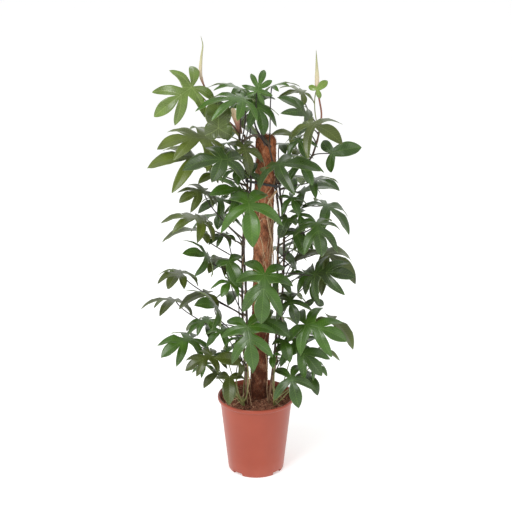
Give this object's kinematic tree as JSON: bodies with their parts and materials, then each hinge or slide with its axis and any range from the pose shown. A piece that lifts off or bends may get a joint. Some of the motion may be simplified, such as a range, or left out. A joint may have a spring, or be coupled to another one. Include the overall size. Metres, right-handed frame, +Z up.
{
  "type": "potted climbing houseplant",
  "caption": "Climbing philodendron with lobed leaves on a coir pole, standing in a round plastic nursery pot filled with soil.",
  "frame": {"origin": "middle of the pot's flat underside", "axes": "+Z up along the pole; the front of the plant faces -Y and its left side is -X"},
  "size_m": [0.663, 0.567, 1.3501],
  "materials": {
    "pot_plastic": "satin terracotta-coloured plastic",
    "soil": "coarse dark potting soil",
    "stake_wood": "plain dowel",
    "coir": "rough coconut fibre",
    "strap": "soft black band",
    "stem": "dark purple-brown, satin",
    "rolled_leaf": "pale rolled leaf",
    "dry_sheath": "dry papery sheath",
    "root": "tan aerial root",
    "leaf": "glossy mid-green leaf",
    "young_leaf": "glossy yellow-green young leaf"
  },
  "bodies": {
    "root": {"pot": "pot_plastic", "soil": "soil", "pole_stake": "stake_wood", "pole_coir": "coir", "tie": "strap", "stem_left_front": "stem", "stem_left_back": "stem", "stem_right_front": "stem", "stem_right_back": "stem", "spear_left": "rolled_leaf", "spear_right": "rolled_leaf", "crown_sheath": "dry_sheath", "aerial_root": "root", "leaf_01": "young_leaf", "leaf_02": "leaf", "leaf_03": "leaf", "leaf_04": "young_leaf", "leaf_05": "leaf", "leaf_06": "leaf", "leaf_07": "leaf", "leaf_08": "leaf", "leaf_09": "leaf", "leaf_10": "leaf", "leaf_11": "leaf", "leaf_12": "leaf", "leaf_13": "leaf", "leaf_14": "leaf", "leaf_15": "leaf", "leaf_16": "leaf", "leaf_17": "leaf", "leaf_18": "leaf", "leaf_19": "leaf", "leaf_20": "leaf", "leaf_21": "leaf", "leaf_22": "leaf", "leaf_23": "leaf", "leaf_24": "leaf", "leaf_25": "leaf", "leaf_26": "leaf", "leaf_27": "leaf", "leaf_28": "leaf", "leaf_29": "leaf", "leaf_30": "leaf", "leaf_31": "leaf", "side_shoot_1": "leaf", "side_shoot_2": "leaf", "side_shoot_3": "leaf", "side_shoot_4": "leaf", "side_shoot_5": "leaf", "side_shoot_6": "leaf", "side_shoot_7": "leaf", "side_shoot_8": "leaf", "side_shoot_9": "leaf", "side_shoot_10": "leaf", "side_shoot_11": "leaf", "side_shoot_12": "leaf", "side_shoot_13": "leaf", "side_shoot_14": "leaf", "shoot_base_left": "leaf", "shoot_base_right": "leaf"}
  },
  "joints": []
}
